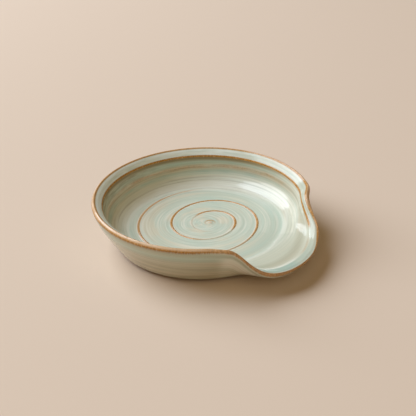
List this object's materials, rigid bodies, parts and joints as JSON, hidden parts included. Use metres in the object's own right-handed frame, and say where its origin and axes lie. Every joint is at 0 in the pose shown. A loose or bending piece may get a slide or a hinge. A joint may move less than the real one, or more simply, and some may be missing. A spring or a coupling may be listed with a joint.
{
  "type": "spoon rest",
  "caption": "Shallow wheel-thrown stoneware dish with a sloping rim, a finger spiral on its floor and a pulled lip that holds the handle of a cooking spoon",
  "frame": {"origin": "centre of the foot's flat face, on the table", "axes": "+X points out through the lip, +Y lies across the lip, +Z is the wheel's axis and points up"},
  "size_m": [0.1335, 0.122, 0.0265],
  "materials": {
    "stoneware": "bare fired stoneware, matt and slightly gritty",
    "celadon_glaze": "glossy celadon glaze, blue-green where it pools and tan where it is thin",
    "iron_glaze": "glossy iron-brown, where the glaze breaks over an edge"
  },
  "bodies": {
    "root": {"stoneware_body": "stoneware", "inside_glaze": "celadon_glaze", "rim_glaze": "celadon_glaze", "outside_glaze": "celadon_glaze", "rim_outer_line": "iron_glaze", "rim_inner_line": "iron_glaze", "spiral_line": "iron_glaze", "centre_button": "iron_glaze"}
  },
  "joints": []
}
